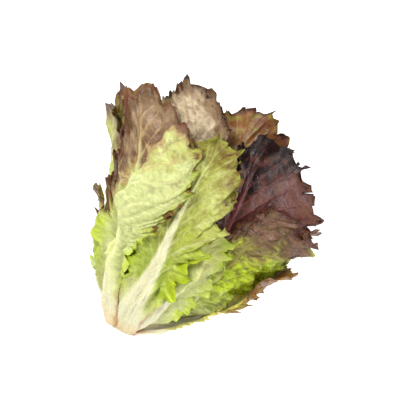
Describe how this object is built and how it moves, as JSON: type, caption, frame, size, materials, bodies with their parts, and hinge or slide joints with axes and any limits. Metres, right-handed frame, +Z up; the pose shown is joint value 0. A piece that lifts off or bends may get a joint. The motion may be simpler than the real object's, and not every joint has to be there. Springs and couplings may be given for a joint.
{
  "type": "leaf lettuce head",
  "caption": "Loose head of red-tipped leaf lettuce lying on its side, its frilled leaves fanning out from a cut butt.",
  "frame": {"origin": "on the surface that the head lies on, under the middle of its bounding box", "axes": "+Y along the head from the cut butt to the leaf tips, +Z up from the surface, +X to the right seen from above with the tips away"},
  "size_m": [0.2458, 0.26, 0.1369],
  "materials": {
    "leaf_green": "fresh satin leaf, lime green with tan and brown edges",
    "leaf_pale": "satin underside of a leaf, pale yellow-green with raised cream ribs",
    "leaf_brown": "thin satin leaf, olive to red-brown",
    "leaf_dark": "glossy upper side of a leaf, dark maroon",
    "stem": "moist cut stem, cream"
  },
  "bodies": {
    "root": {"leaf_heart": "leaf_green", "leaf_inner_1": "leaf_green", "leaf_inner_2": "leaf_green", "leaf_inner_3": "leaf_green", "leaf_inner_4": "leaf_green", "leaf_inner_5": "leaf_green", "leaf_inner_6": "leaf_green", "leaf_inner_7": "leaf_green", "leaf_top_right": "leaf_brown", "leaf_under_left": "leaf_green", "leaf_top_hood": "leaf_brown", "leaf_dark_red": "leaf_dark", "leaf_under_right": "leaf_green", "leaf_back_left": "leaf_brown", "leaf_right": "leaf_brown", "leaf_right_crinkled": "leaf_green", "leaf_left": "leaf_green", "leaf_left_outer": "leaf_green", "leaf_upper_right": "leaf_pale", "leaf_upper_middle": "leaf_pale", "leaf_upper_left": "leaf_pale", "leaf_right_outer": "leaf_brown", "leaf_under_middle": "leaf_green", "stem": "stem"}
  },
  "joints": []
}
